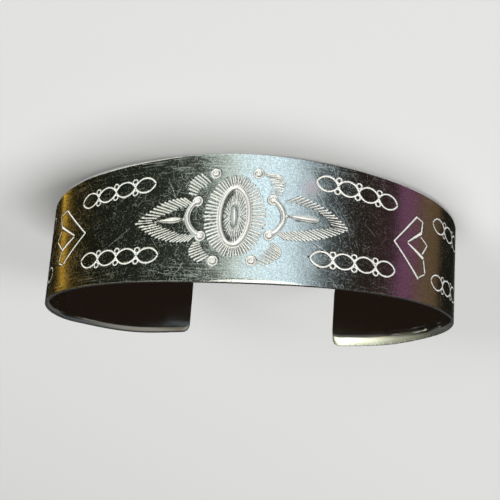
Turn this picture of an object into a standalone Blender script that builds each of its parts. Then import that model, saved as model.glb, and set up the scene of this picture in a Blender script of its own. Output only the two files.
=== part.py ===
# Cuff bracelet: one tapered strip of silver sheet, its ornament raised while it is flat,
# then bent round to an open oval. It lies on its side, resting on one rim.
import math

import bmesh
import bpy
from mathutils import Vector

MM = 0.001

# The strip before it is bent
LENGTH = 137.8 * MM  # end to end, along the outer face
MIDDLE_HEIGHT = 18.6 * MM  # rim to rim at the middle of the front
END_HEIGHT = 10.4 * MM  # rim to rim at each end
TAPER_BLEND = 10.0 * MM  # how far from the middle the two straight tapers run into each other
THICKNESS = 0.8 * MM
CORNER_RADIUS = 1.0 * MM  # the rounded corners of each end
OUTER_EASE = 0.15 * MM  # rounding of the rims and ends on the outer face
INNER_EASE = 0.30 * MM  # depth to which the inner edges are filed back
INNER_EASE_MIDDLE = 0.30 * MM  # how far that filing reaches up the inner face at the front
INNER_EASE_END = 1.10 * MM  # and at each end, which is pushed over the wrist

# The bend, as radii of the outer face
FRONT_RADIUS = 40.0 * MM
SIDE_RADIUS = 15.0 * MM
BACK_RADIUS = 50.0 * MM
SIDE_PLACE = 42.2 * MM  # from the middle of the front round to the tightest bend
SIDE_SPREAD = 16.7 * MM  # how far to each side of it the tight bend fades out

# The raised ornament: an oval with a short dart inside it, set round with eight beads
OVAL_WIDTH = 4.55 * MM
OVAL_HEIGHT = 8.8 * MM
OVAL_WIRE = 0.62 * MM
OVAL_RISE = 0.40 * MM
HEART_LENGTH = 2.75 * MM
HEART_WIDTH = 0.46 * MM
HEART_RISE = 0.36 * MM
BEAD_DIAMETER = 1.10 * MM
BEAD_RISE = 0.38 * MM
END_BEAD_APART = 5.6 * MM  # the two beads above the oval, and the two below it
END_BEAD_CLEAR = 1.95 * MM  # from the oval's top or bottom out to their middles
SIDE_BEAD_APART = 5.1 * MM  # the two beads to the left of the oval, and the two to the right
SIDE_BEAD_CLEAR = 2.65 * MM  # from the oval's side out to their middles
ARC_BULGE = 1.65 * MM  # how far the arc that joins two side beads stands out past them
ARC_WIRE = 0.52 * MM
ARC_RISE = 0.30 * MM
SPINE_LENGTH = 4.0 * MM
SPINE_WIDTH = 0.52 * MM
SPINE_RISE = 0.34 * MM
SPINE_CLEAR = 0.75 * MM  # from the arc out to the near end of the spine
STUD_DIAMETER = 0.42 * MM  # the small round point between an arc and its spine
STUD_RISE = 0.16 * MM

# How finely the solid is cut into flat facets
STATION_STEP = 2.0 * MM
BEND_STEP = 0.05 * MM
EASE_FACETS = 2
CORNER_FACETS = 4
WIRE_SIDES = 5
OVAL_FACETS = 40
ARC_FACETS = 14
POINT_FACETS = 10
BEAD_SIDES = 14
ROOT = 0.25 * MM  # how far each raised piece is rooted in the strip

HALF_LENGTH = LENGTH / 2

SILVER = {"colour": (0.80, 0.79, 0.75, 1.0), "metallic": 1.0, "roughness": 0.28}


def clear_scene():
    for item in list(bpy.data.objects):
        bpy.data.objects.remove(item, do_unlink=True)


def curvature(along):
    """Bend of the outer face at a distance along it from the middle of the front."""
    plain = 1 / (FRONT_RADIUS if along < SIDE_PLACE else BACK_RADIUS)
    fade = math.exp(-(((along - SIDE_PLACE) / SIDE_SPREAD) ** 2))
    return plain + (1 / SIDE_RADIUS - plain) * fade


def bend_line():
    """Turn, x and y of the outer line at each small step from the middle of the front."""
    turn, x, y = 0.0, 0.0, 0.0
    line = [(turn, x, y)]
    for index in range(math.ceil(HALF_LENGTH / BEND_STEP) + 1):
        bend = curvature((index + 0.5) * BEND_STEP)
        halfway = turn + bend * BEND_STEP / 2
        x += math.cos(halfway) * BEND_STEP
        y += math.sin(halfway) * BEND_STEP
        turn += bend * BEND_STEP
        line.append((turn, x, y))
    return line


BEND_LINE = bend_line()


def bent(along, up, out):
    """Point of the bent cuff for a place on the flat strip: along it, up it, and out of its face."""
    steps = abs(along) / BEND_STEP
    index = min(int(steps), len(BEND_LINE) - 2)
    share = steps - index
    near, far = BEND_LINE[index], BEND_LINE[index + 1]
    turn, x, y = (a + (b - a) * share for a, b in zip(near, far))
    x += math.sin(turn) * out
    y -= math.cos(turn) * out
    return Vector((math.copysign(x, along), y, up))


def half_height(along):
    """Half of the strip's height, which tapers from the middle to the ends."""
    fall = math.hypot(along, TAPER_BLEND) - TAPER_BLEND
    whole_fall = math.hypot(HALF_LENGTH, TAPER_BLEND) - TAPER_BLEND
    return (MIDDLE_HEIGHT - (MIDDLE_HEIGHT - END_HEIGHT) * fall / whole_fall) / 2


def eased_corner(up, out, ease_up, ease_out):
    """Points round one corner of the strip's section, in the quarter of the signs of up and out."""
    points = []
    for index in range(EASE_FACETS + 1):
        angle = math.pi / 2 * index / EASE_FACETS
        points.append(
            (
                up - math.copysign(ease_up * (1 - math.sin(angle)), up),
                out - ease_out * (1 - math.cos(angle)),
            )
        )
    return points


def section(along, half, shrink):
    """The strip's section as (up, out) points. shrink draws it in on all sides at the ends."""
    share = min(abs(along) / HALF_LENGTH, 1)
    inner_up = INNER_EASE_MIDDLE + (INNER_EASE_END - INNER_EASE_MIDDLE) * share**2
    top = half - shrink
    face = -shrink
    back = -THICKNESS + shrink
    outer = eased_corner(top, face, OUTER_EASE, OUTER_EASE)
    inner = eased_corner(top, back, inner_up, -INNER_EASE)
    upper = outer + inner[::-1]
    return upper + [(-up, out) for up, out in reversed(upper)]


def stations():
    """(along, half height, shrink) for each section of the strip, from one end to the other."""
    corner_start = HALF_LENGTH - CORNER_RADIUS
    half_count = max(round(corner_start / STATION_STEP), 2)
    spacing = corner_start / (half_count - 0.5)
    rows = [(spacing * (index + 0.5), 0.0, 0.0) for index in range(half_count)]
    for index in range(1, CORNER_FACETS + 1):
        angle = math.pi / 2 * index / CORNER_FACETS
        along = corner_start + CORNER_RADIUS * math.sin(angle)
        rows.append((along, CORNER_RADIUS * (1 - math.cos(angle)), 0.0))
    rows[-1] = (HALF_LENGTH, CORNER_RADIUS, OUTER_EASE)
    half = [(along, half_height(along) - cut, shrink) for along, cut, shrink in rows]
    return [(-along, high, shrink) for along, high, shrink in reversed(half)] + half


def mesh_object(name, mesh_data, material):
    """Wraps a bmesh in a named object with its material, its faces pointing out."""
    bmesh.ops.recalc_face_normals(mesh_data, faces=mesh_data.faces)
    mesh = bpy.data.meshes.new(name)
    mesh_data.to_mesh(mesh)
    mesh_data.free()
    mesh.materials.append(material)
    made = bpy.data.objects.new(name, mesh)
    bpy.context.scene.collection.objects.link(made)
    return made


def skin(mesh_data, loops, closed):
    """Faces between closed loops of vertices, with the first and last loop capped if open."""
    pairs = list(zip(loops, loops[1:]))
    if closed:
        pairs.append((loops[-1], loops[0]))
    for near, far in pairs:
        for index, vertex in enumerate(near):
            after = (index + 1) % len(near)
            mesh_data.faces.new((vertex, near[after], far[after], far[index]))
    if not closed:
        mesh_data.faces.new(loops[0])
        mesh_data.faces.new(list(reversed(loops[-1])))


def make_strip(material):
    mesh_data = bmesh.new()
    loops = []
    for along, half, shrink in stations():
        points = section(along, half, shrink)
        loops.append([mesh_data.verts.new(bent(along, up, out)) for up, out in points])
    skin(mesh_data, loops, closed=False)
    return mesh_object("cuff_band", mesh_data, material)


def wire_profile(width, rise):
    """(sideways, out) points round a half-round wire with its root below the surface."""
    points = [(-width / 2, -ROOT)]
    for index in range(WIRE_SIDES + 1):
        angle = math.pi * (1 - index / WIRE_SIDES)
        points.append((width / 2 * math.cos(angle), rise * math.sin(angle)))
    points.append((width / 2, -ROOT))
    return points


def make_wire(name, path, material, closed=False):
    """A half-round wire bent with the strip. path rows are along, up, width and rise."""
    mesh_data = bmesh.new()
    loops = []
    count = len(path)
    for index, (along, up, width, rise) in enumerate(path):
        before = path[index - 1] if closed or index else path[0]
        after = path[(index + 1) % count] if closed or index < count - 1 else path[-1]
        run = Vector((after[0] - before[0], after[1] - before[1])).normalized()
        loops.append(
            [
                mesh_data.verts.new(bent(along - run.y * side, up + run.x * side, out))
                for side, out in wire_profile(width, rise)
            ]
        )
    skin(mesh_data, loops, closed)
    return mesh_object(name, mesh_data, material)


def make_oval(material):
    width = (OVAL_WIDTH - OVAL_WIRE) / 2
    height = (OVAL_HEIGHT - OVAL_WIRE) / 2
    path = []
    for index in range(OVAL_FACETS):
        angle = 2 * math.pi * index / OVAL_FACETS
        path.append((width * math.cos(angle), height * math.sin(angle), OVAL_WIRE, OVAL_RISE))
    return make_wire("oval_wire", path, material, closed=True)


def make_point(name, start, end, width, rise, material):
    """A straight wire between two (along, up) places that narrows to a point at both ends."""
    path = []
    for index in range(POINT_FACETS + 1):
        share = 0.03 + 0.94 * index / POINT_FACETS
        full = math.sqrt(math.sin(math.pi * share))
        along = start[0] + (end[0] - start[0]) * share
        up = start[1] + (end[1] - start[1]) * share
        path.append((along, up, width * full, rise * full))
    return make_wire(name, path, material)


def make_dome(name, along, up, diameter, rise, material):
    """A low round dome that stands on the strip."""
    mesh_data = bmesh.new()
    levels = [(1.0, -ROOT), (1.0, 0.0), (0.82, 0.62 * rise), (0.45, 0.93 * rise)]
    loops = []
    for share, out in levels:
        loop = []
        for index in range(BEAD_SIDES):
            angle = 2 * math.pi * index / BEAD_SIDES
            side = diameter / 2 * share * math.cos(angle)
            raised = diameter / 2 * share * math.sin(angle)
            loop.append(mesh_data.verts.new(bent(along + side, up + raised, out)))
        loops.append(loop)
    skin(mesh_data, loops, closed=False)
    mesh_data.faces.ensure_lookup_table()
    crown = bmesh.ops.poke(mesh_data, faces=[mesh_data.faces[-1]])["verts"][0]
    crown.co = bent(along, up, rise)
    return mesh_object(name, mesh_data, material)


def make_arc(name, side, bead_along, bead_up, material):
    """A wire from one side bead round to the other, bulging away from the oval."""
    radius = (bead_up**2 + ARC_BULGE**2) / (2 * ARC_BULGE)
    centre = bead_along + ARC_BULGE - radius
    reach = math.atan2(bead_up, bead_along - centre)
    path = []
    for index in range(ARC_FACETS + 1):
        angle = reach * (2 * index / ARC_FACETS - 1)
        along = centre + radius * math.cos(angle)
        path.append((side * along, radius * math.sin(angle), ARC_WIRE, ARC_RISE))
    return make_wire(name, path, material)


def make_ornament(material):
    """Every raised piece of the ornament, each rooted in the strip."""
    pieces = [make_oval(material)]
    half_heart = HEART_LENGTH / 2
    pieces.append(
        make_point("heart", (0, -half_heart), (0, half_heart), HEART_WIDTH, HEART_RISE, material)
    )
    end_up = OVAL_HEIGHT / 2 + END_BEAD_CLEAR
    side_along = OVAL_WIDTH / 2 + SIDE_BEAD_CLEAR
    side_up = SIDE_BEAD_APART / 2
    spine_start = side_along + ARC_BULGE + SPINE_CLEAR
    stud_along = spine_start - (SPINE_CLEAR - ARC_WIRE / 2) / 2
    for side, word in ((-1, "left"), (1, "right")):
        for turn, level in ((-1, "low"), (1, "high")):
            end_place = (side * END_BEAD_APART / 2, turn * end_up)
            side_place = (side * side_along, turn * side_up)
            for place, kind in ((end_place, "end"), (side_place, "side")):
                name = f"bead_{kind}_{word}_{level}"
                pieces.append(make_dome(name, *place, BEAD_DIAMETER, BEAD_RISE, material))
        pieces.append(make_arc(f"arc_{word}", side, side_along, side_up, material))
        start = (side * spine_start, 0)
        end = (side * (spine_start + SPINE_LENGTH), 0)
        pieces.append(make_point(f"spine_{word}", start, end, SPINE_WIDTH, SPINE_RISE, material))
        stud = (side * stud_along, 0, STUD_DIAMETER, STUD_RISE)
        pieces.append(make_dome(f"stud_{word}", *stud, material))
    return pieces


def join_to_strip(strip, pieces):
    """Makes the raised pieces one solid with the strip, as they are beaten up out of its metal."""
    for piece in pieces:
        union = strip.modifiers.new(piece.name, "BOOLEAN")
        union.operation = "UNION"
        union.solver = "EXACT"
        union.object = piece
        piece.hide_render = True
        piece.display_type = "WIRE"


def resting_lean(strip):
    """Angle by which the cuff leans back when it rests on one rim.

    The tapered rim touches a flat surface at the middle of the front and at both sides.
    """
    corners = [vertex.co for vertex in strip.data.vertices]
    lowest = min(corner.z for corner in corners)
    front = max(
        (corner for corner in corners if corner.z < lowest + BEND_STEP / 100),
        key=lambda corner: corner.y,
    )
    behind = [corner for corner in corners if corner.y > front.y + THICKNESS]
    return min(math.atan2(corner.z - front.z, corner.y - front.y) for corner in behind)


def lay_on_rim(strip, pieces):
    """Leans the cuff back on its rim, with the middle of its base at the origin."""
    rest = bpy.data.objects.new("rest", None)
    bpy.context.scene.collection.objects.link(rest)
    for item in [strip] + pieces:
        item.parent = rest
    rest.rotation_euler.x = -resting_lean(strip)
    bpy.context.view_layer.update()
    seen = strip.evaluated_get(bpy.context.evaluated_depsgraph_get())
    corners = [seen.matrix_world @ vertex.co for vertex in seen.data.vertices]
    low = [min(corner[axis] for corner in corners) for axis in range(3)]
    high = [max(corner[axis] for corner in corners) for axis in range(3)]
    rest.location = (-(low[0] + high[0]) / 2, -(low[1] + high[1]) / 2, -low[2])


def make_silver():
    material = bpy.data.materials.new("silver")
    material.use_nodes = True
    shader = material.node_tree.nodes["Principled BSDF"]
    shader.inputs["Base Color"].default_value = SILVER["colour"]
    shader.inputs["Metallic"].default_value = SILVER["metallic"]
    shader.inputs["Roughness"].default_value = SILVER["roughness"]
    return material


def build():
    clear_scene()
    silver = make_silver()
    strip = make_strip(silver)
    pieces = make_ornament(silver)
    join_to_strip(strip, pieces)
    lay_on_rim(strip, pieces)
    strip.data.shade_smooth()
    strip.data.set_sharp_from_angle(angle=math.radians(30))


build()
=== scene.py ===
import math

import bmesh
import bpy
import numpy as np
from mathutils import Matrix, Vector


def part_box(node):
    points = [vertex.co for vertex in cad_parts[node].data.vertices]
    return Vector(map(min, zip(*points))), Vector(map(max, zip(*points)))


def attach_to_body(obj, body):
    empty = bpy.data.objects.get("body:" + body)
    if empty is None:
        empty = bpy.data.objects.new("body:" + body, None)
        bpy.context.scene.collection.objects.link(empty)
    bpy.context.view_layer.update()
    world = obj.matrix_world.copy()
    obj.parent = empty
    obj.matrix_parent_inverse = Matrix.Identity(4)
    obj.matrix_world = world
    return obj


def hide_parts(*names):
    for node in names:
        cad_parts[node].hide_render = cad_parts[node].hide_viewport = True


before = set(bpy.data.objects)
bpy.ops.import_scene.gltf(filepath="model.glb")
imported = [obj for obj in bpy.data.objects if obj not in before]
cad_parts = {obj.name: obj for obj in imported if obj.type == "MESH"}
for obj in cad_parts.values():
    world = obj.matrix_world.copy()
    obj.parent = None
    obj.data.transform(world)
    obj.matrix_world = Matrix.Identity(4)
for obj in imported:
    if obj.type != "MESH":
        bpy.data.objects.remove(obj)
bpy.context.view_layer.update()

# The sheet
# One strip of silver sheet, 0.8 mm thick, cut with a straight taper each way from the middle
# of the front. It is worked flat and seen face on, so out is towards whoever looks at it.
# All that is raised or struck on it is kept as one map of heights, over right and up.
MM = 0.001
STRIP_LENGTH = 137.8 * MM
MIDDLE_HEIGHT = 18.6 * MM
END_HEIGHT = 10.4 * MM
TAPER_BLEND = 10.0 * MM
SHEET = 0.8 * MM
HALF_LENGTH = STRIP_LENGTH / 2
GROOVE_ROUNDNESS = 0.8
LIP_SHARE = 0.1
LIP_PLACE = 1.25
LIP_SPREAD = 0.3
LIP_REACH = 1.2
FOOT_SHARE = 0.16
FOOT_PLACE = 1.15
FOOT_SPREAD = 0.28
FOOT_REACH = 1.5
TINY = 1e-12

MAP_STEP = 0.03 * MM
map_right = np.arange(-HALF_LENGTH, HALF_LENGTH, MAP_STEP)
map_up = np.arange(-MIDDLE_HEIGHT / 2, MIDDLE_HEIGHT / 2, MAP_STEP)
sunk = np.zeros((len(map_up), len(map_right)))
raised = np.zeros_like(sunk)


def half_height(right):
    fall = np.hypot(right, TAPER_BLEND) - TAPER_BLEND
    whole = math.hypot(HALF_LENGTH, TAPER_BLEND) - TAPER_BLEND
    return (MIDDLE_HEIGHT - (MIDDLE_HEIGHT - END_HEIGHT) * fall / whole) / 2


def in_metres(place):
    return (place[0] * MM, place[1] * MM)


def between(start, end, share):
    return (start[0] + (end[0] - start[0]) * share, start[1] + (end[1] - start[1]) * share)


def swell(away, place, spread):
    """A rounded rise of 1, at one place and over a spread each way."""
    return np.exp(-(((away - place) / spread) ** 2))


def patch(places, reach):
    """The piece of the map round some places, as a slice and its right and up values."""
    rights = [place[0] for place in places]
    ups = [place[1] for place in places]
    left = np.searchsorted(map_right, min(rights) - reach)
    right = np.searchsorted(map_right, max(rights) + reach)
    low = np.searchsorted(map_up, min(ups) - reach)
    high = np.searchsorted(map_up, max(ups) + reach)
    area = (slice(low, high), slice(left, right))
    return area, *np.meshgrid(map_right[left:right], map_up[low:high])


def beside(line, widths, rights, ups):
    """How far each map point lies from a line of places, as a share of the half width there."""
    nearest = np.full(rights.shape, np.inf)
    for number, (start, end) in enumerate(zip(line, line[1:])):
        run = (end[0] - start[0], end[1] - start[1])
        length = max(run[0] ** 2 + run[1] ** 2, TINY)
        share = ((rights - start[0]) * run[0] + (ups - start[1]) * run[1]) / length
        share = np.clip(share, 0, 1)
        away = np.hypot(rights - start[0] - share * run[0], ups - start[1] - share * run[1])
        half = (widths[number] + (widths[number + 1] - widths[number]) * share) / 2
        nearest = np.minimum(nearest, away / half)
    return nearest


def strike(line, width, depth, end_width=None):
    """Strikes a rounded groove along a line of places, which throws up a low lip beside it."""
    end_width = width if end_width is None else end_width
    widths = np.linspace(width, end_width, len(line))
    area, rights, ups = patch(line, LIP_REACH * max(width, end_width))
    away = beside(line, widths, rights, ups)
    lip = LIP_SHARE * depth * swell(away, LIP_PLACE, LIP_SPREAD)
    groove = np.where(away < 1, -depth * (1 - away) ** GROOVE_ROUNDNESS, lip)
    old = sunk[area]
    lipped = np.where(old < 0, old, np.maximum(old, groove))
    sunk[area] = np.where(groove < 0, np.minimum(old, groove), lipped)


def raise_wire(line, widths, rise):
    """Beats up a rounded ridge along a line of places, with the sheet pressed in at its foot."""
    area, rights, ups = patch(line, FOOT_REACH * max(widths))
    away = beside(line, widths, rights, ups)
    over = np.clip(away, 0, 1)
    raised[area] = np.maximum(raised[area], rise * np.sqrt(1 - over**2))
    foot = -FOOT_SHARE * rise * swell(away, FOOT_PLACE, FOOT_SPREAD)
    sunk[area] = np.minimum(sunk[area], foot)


# The raised oval and its sunburst
# The middle of the front is beaten up from behind into an oval ridge round a pointed heart.
# A short straight punch strikes the rays outside the ridge and the finer ones inside it.
DESIGN_UP = 0.12 * MM
OVAL_WIDTH = 4.55 * MM
OVAL_HEIGHT = 8.8 * MM
OVAL_WIRE = 0.58 * MM
OVAL_RISE = 0.38 * MM
OVAL_STEPS = 80
RAY_COUNT = 62
RAY_WIDTH = 0.19 * MM
RAY_DEPTH = 0.13 * MM
RAY_REACH = (4.05 * MM, 5.75 * MM)
RAY_CLEAR = 0.05 * MM
RAY_FOOT_SHARE = 0.8
RAY_WANDER = 0.12
RAY_TIP_WANDER = 0.015
RAY_LENGTHS = (0.9, 1.04)
FINE_RAY_COUNT = 34
FINE_RAY_WIDTH = 0.14 * MM
FINE_RAY_DEPTH = 0.1 * MM
FINE_RAY_LENGTH = 1.9 * MM
FINE_RAY_CROSS = 0.6 * MM
FINE_RAY_INSET = 0.6 * MM
FINE_RAY_SHARE = 0.62
FINE_RAY_CLEAR = 0.08 * MM
FINE_RAY_WANDER = 0.1
HEART_LENGTH = 2.9 * MM
HEART_WIDTH = 0.58 * MM
HEART_RISE = 0.22 * MM
HEART_LEAN = (-0.1 * MM, 0.06 * MM)
NEEDLE_STEPS = 16
NEEDLE_POINT = 0.06 * MM

chance = np.random.default_rng(7)


def ellipse(width, height, turn):
    return (width * math.cos(turn), DESIGN_UP + height * math.sin(turn))


for ray in range(RAY_COUNT):
    turn = 2 * math.pi * (ray + chance.uniform(-RAY_WANDER, RAY_WANDER)) / RAY_COUNT
    foot = ellipse(OVAL_WIDTH / 2 + RAY_CLEAR, OVAL_HEIGHT / 2 + RAY_CLEAR, turn)
    tip = ellipse(*RAY_REACH, turn + chance.uniform(-RAY_TIP_WANDER, RAY_TIP_WANDER))
    tip = between(foot, tip, chance.uniform(*RAY_LENGTHS))
    strike([foot, tip], RAY_WIDTH * RAY_FOOT_SHARE, RAY_DEPTH, RAY_WIDTH)

for ray in range(FINE_RAY_COUNT):
    wander = chance.uniform(-FINE_RAY_WANDER, FINE_RAY_WANDER)
    turn = 2 * math.pi * (ray + 0.5 + wander) / FINE_RAY_COUNT
    tip = ellipse(OVAL_WIDTH / 2 - FINE_RAY_INSET, OVAL_HEIGHT / 2 - FINE_RAY_INSET, turn)
    away = tip[1] - DESIGN_UP
    aim = (0.0, DESIGN_UP - math.copysign(FINE_RAY_CROSS, away))
    reach = min(FINE_RAY_SHARE * math.dist(tip, aim), FINE_RAY_LENGTH)
    to_axis = max(abs(away) - FINE_RAY_CLEAR, 0) / (abs(away) + FINE_RAY_CROSS)
    foot = between(tip, aim, min(reach / math.dist(tip, aim), to_axis))
    strike([foot, tip], FINE_RAY_WIDTH, FINE_RAY_DEPTH)

oval_line = []
for step in range(OVAL_STEPS + 1):
    turn = 2 * math.pi * step / OVAL_STEPS
    oval_line.append(ellipse((OVAL_WIDTH - OVAL_WIRE) / 2, (OVAL_HEIGHT - OVAL_WIRE) / 2, turn))
raise_wire(oval_line, [OVAL_WIRE] * len(oval_line), OVAL_RISE)


def needle(start, end, width, rise, belly=0.5, bluntness=0.7):
    """A ridge that narrows to a point at both ends and is widest a share of the way along."""
    line = []
    widths = []
    for step in range(NEEDLE_STEPS + 1):
        share = step / NEEDLE_STEPS
        line.append(between(start, end, share))
        bent_share = share ** (math.log(0.5) / math.log(belly))
        widths.append(max(width * math.sin(math.pi * bent_share) ** bluntness, NEEDLE_POINT))
    raise_wire(line, widths, rise)


needle(
    (HEART_LEAN[0], DESIGN_UP + HEART_LENGTH / 2),
    (HEART_LEAN[1], DESIGN_UP - HEART_LENGTH / 2),
    HEART_WIDTH,
    HEART_RISE,
)

# The beads and the two arcs
# Eight beads are struck up round the sunburst with one round punch, which leaves a ring and a
# dimple in each. A curved punch joins the two at each side with an arc.
BEAD = 1.06 * MM
BEAD_RISE = 0.36 * MM
BEAD_AWAY = [0.0, 0.12, 0.3, 0.42, 0.62, 0.82, 0.94, 1.0]
BEAD_PROFILE = [0.98, 0.86, 0.46, 0.56, 1.0, 0.8, 0.36, 0.0]
BEAD_FOOT = 0.06 * MM
BEAD_FOOT_PLACE = 1.12
BEAD_FOOT_SPREAD = 0.2
ARC_WIRE = 0.5 * MM
ARC_RISE = 0.28 * MM
ARC_STEPS = 24
ARC_FULLNESS = 0.8
ARC_BULGE = {"left": -6.5 * MM, "right": 6.65 * MM}
# Each bead's right and up, in millimetres.
beads = {
    "end": [(-2.95, 6.35), (2.9, 6.45), (-2.5, -6.3), (2.65, -6.15)],
    "left": [(-5.2, 2.3), (-4.5, -2.75)],
    "right": [(5.05, 2.75), (4.8, -2.4)],
}


def strike_bead(centre):
    area, rights, ups = patch([centre], BEAD)
    away = np.hypot(rights - centre[0], ups - centre[1]) / (BEAD / 2)
    profile = np.interp(away, BEAD_AWAY, BEAD_PROFILE)
    raised[area] = np.maximum(raised[area], BEAD_RISE * profile)
    foot = -BEAD_FOOT * swell(away, BEAD_FOOT_PLACE, BEAD_FOOT_SPREAD)
    sunk[area] = np.minimum(sunk[area], foot)


for places in beads.values():
    for place in places:
        strike_bead(in_metres(place))

for side, bulge in ARC_BULGE.items():
    high, low = [in_metres(place) for place in beads[side]]
    reach = bulge - (high[0] + low[0]) / 2
    line = []
    for step in range(ARC_STEPS + 1):
        share = step / ARC_STEPS
        pull = 4 * share * (1 - share)
        chord = between(high, low, share)
        line.append((chord[0] + reach * pull**ARC_FULLNESS, chord[1]))
    raise_wire(line, [ARC_WIRE] * len(line), ARC_RISE)

# The leaves, their spines and the corner feathers
# Each leaf is two rows of slanting strokes of the straight punch, which meet at a tip. A
# needle-shaped spine is raised inside it. Four short fans fill the sunburst's corners.
LEAF_DEPTH = 0.12 * MM
SPINE_WIDTH = 0.56 * MM
SPINE_RISE = 0.26 * MM
STUD = 0.4 * MM
STUD_RISE = 0.14 * MM
STUD_LENGTH = 0.01 * MM
STROKE_WANDER = 0.1
STROKE_LENGTHS = (0.92, 1.04)
STROKE_TAPER = 0.5
# Each row of strokes runs from the tip inwards: where its outer ends lie at the tip, halfway
# and at the last stroke, and the same for its inner ends, in millimetres.
leaf_rows = [
    {"strokes": 13, "width": 0.15, "outer": [(-13.8, -0.1), (-10.5, 2.15), (-7.1, 2.8)],
     "inner": [(-11.6, -0.15), (-8.2, 1.15), (-5.8, 1.9)]},
    {"strokes": 16, "width": 0.15, "outer": [(-14.2, -0.45), (-10.1, -3.0), (-6.1, -3.4)],
     "inner": [(-11.5, -0.5), (-7.9, -2.1), (-5.2, -2.6)]},
    {"strokes": 14, "width": 0.19, "outer": [(15.4, -0.05), (12.2, 2.25), (8.7, 3.55)],
     "inner": [(13.2, 0.1), (10.9, 1.85), (6.9, 2.6)]},
    {"strokes": 17, "width": 0.17, "outer": [(15.4, -0.4), (11.2, -2.35), (7.0, -2.75)],
     "inner": [(13.6, -0.3), (9.0, -1.35), (5.7, -1.9)]},
]
corner_fans = [
    {"strokes": 8, "width": 0.15, "outer": [(-5.0, 6.3), (-6.3, 5.35), (-6.5, 3.5)],
     "inner": [(-3.5, 5.0), (-4.7, 4.3), (-5.4, 3.2)]},
    {"strokes": 8, "width": 0.15, "outer": [(-5.3, -3.75), (-5.8, -5.2), (-4.5, -6.4)],
     "inner": [(-4.4, -3.5), (-4.1, -4.6), (-2.95, -5.5)]},
    {"strokes": 9, "width": 0.17, "outer": [(5.7, 6.4), (6.4, 5.3), (6.2, 3.7)],
     "inner": [(3.8, 6.5), (4.6, 5.3), (4.7, 3.7)]},
    {"strokes": 10, "width": 0.16, "outer": [(6.4, -4.3), (6.2, -5.5), (4.4, -6.6)],
     "inner": [(5.2, -3.4), (4.5, -4.6), (3.2, -6.2)]},
]
spines = [
    {"start": (-11.3, -0.4), "end": (-7.25, -0.3), "belly": 0.68, "bluntness": 0.7},
    {"start": (7.25, 0.55), "end": (11.5, 0.38), "belly": 0.62, "bluntness": 0.4},
]
studs = [(-6.98, -0.3), (7.05, 0.55)]


def through(places, share):
    """A place a share of the way along the curve that passes through three places."""
    weights = ((1 - share) * (1 - 2 * share), 4 * share * (1 - share), share * (2 * share - 1))
    right = sum(weight * place[0] for weight, place in zip(weights, places))
    up = sum(weight * place[1] for weight, place in zip(weights, places))
    return (right * MM, up * MM)


for row in leaf_rows + corner_fans:
    for stroke in range(row["strokes"]):
        wander = chance.uniform(-STROKE_WANDER, STROKE_WANDER)
        share = (stroke + wander) / (row["strokes"] - 1)
        outer = through(row["outer"], share)
        inner = between(outer, through(row["inner"], share), chance.uniform(*STROKE_LENGTHS))
        strike([outer, inner], row["width"] * MM, LEAF_DEPTH, row["width"] * STROKE_TAPER * MM)

for spine in spines:
    start = in_metres(spine["start"])
    end = in_metres(spine["end"])
    needle(start, end, SPINE_WIDTH, SPINE_RISE, spine["belly"], spine["bluntness"])

for place in studs:
    low = in_metres(place)
    raise_wire([low, (low[0], low[1] + STUD_LENGTH)], [STUD, STUD], STUD_RISE)

# The chains
# Four chains of four oval links are struck beside the leaves, and four more further round.
# One curved punch makes each link in two blows, and a small ring punch marks each joint twice.
LINK_DEPTH = 0.13 * MM
LINK_HALF = 1.08 * MM
RING_SIZE = 0.76 * MM
RING_AWAY = 0.83 * MM
RING_LINE_SHARE = 0.79
LINKS = 4
LINK_SWEEP = 0.94
LINK_POINTS = 19
RING_POINTS = 15
LINK_SLIP = 0.05
RING_SLIP_AHEAD = 0.08
RING_SLIP_ASIDE = 0.05
# Where each chain's row of links starts and ends, and how wide its lines are, in millimetres.
chains = [
    {"start": (10.8, 6.1), "end": (23.0, 4.95), "line": 0.22},
    {"start": (10.5, -5.05), "end": (22.95, -4.65), "line": 0.22},
    {"start": (-11.6, 5.35), "end": (-24.6, 4.45), "line": 0.18},
    {"start": (-10.35, -5.25), "end": (-23.6, -4.5), "line": 0.18},
    {"start": (30.1, 4.5), "end": (42.6, 3.8), "line": 0.21},
    {"start": (29.9, -4.1), "end": (42.4, -3.6), "line": 0.21},
    {"start": (-33.6, 4.3), "end": (-46.0, 3.6), "line": 0.18},
    {"start": (-31.9, -4.1), "end": (-44.3, -3.6), "line": 0.18},
]

for chain in chains:
    start = in_metres(chain["start"])
    end = in_metres(chain["end"])
    length = math.dist(start, end)
    run = ((end[0] - start[0]) / length, (end[1] - start[1]) / length)
    pitch = length / LINKS
    radius = (pitch**2 / 4 + LINK_HALF**2) / (2 * LINK_HALF)
    sweep = math.asin(pitch / 2 / radius)

    def on_chain(ahead, aside):
        """The place a way along the chain and a way to one side of it."""
        right = start[0] + run[0] * ahead - run[1] * aside
        up = start[1] + run[1] * ahead + run[0] * aside
        return (right, up)

    for link in range(LINKS):
        for side in (-1, 1):
            slip = chance.uniform(-LINK_SLIP, LINK_SLIP) * MM
            line = []
            for turn in np.linspace(-LINK_SWEEP * sweep, LINK_SWEEP * sweep, LINK_POINTS):
                ahead = pitch * (link + 0.5) + radius * math.sin(turn) + slip
                aside = side * (LINK_HALF - radius * (1 - math.cos(turn)))
                line.append(on_chain(ahead, aside))
            strike(line, chain["line"] * MM, LINK_DEPTH)
    for joint in range(1, LINKS):
        for side in (-1, 1):
            ahead = pitch * joint + chance.uniform(-RING_SLIP_AHEAD, RING_SLIP_AHEAD) * MM
            slip = chance.uniform(-RING_SLIP_ASIDE, RING_SLIP_ASIDE) * MM
            right, up = on_chain(ahead, side * (RING_AWAY + slip))
            half = RING_SIZE / 2
            turns = np.linspace(0, 2 * math.pi, RING_POINTS)
            ring = [(right + half * math.cos(turn), up + half * math.sin(turn)) for turn in turns]
            strike(ring, chain["line"] * RING_LINE_SHARE * MM, LINK_DEPTH)

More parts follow.
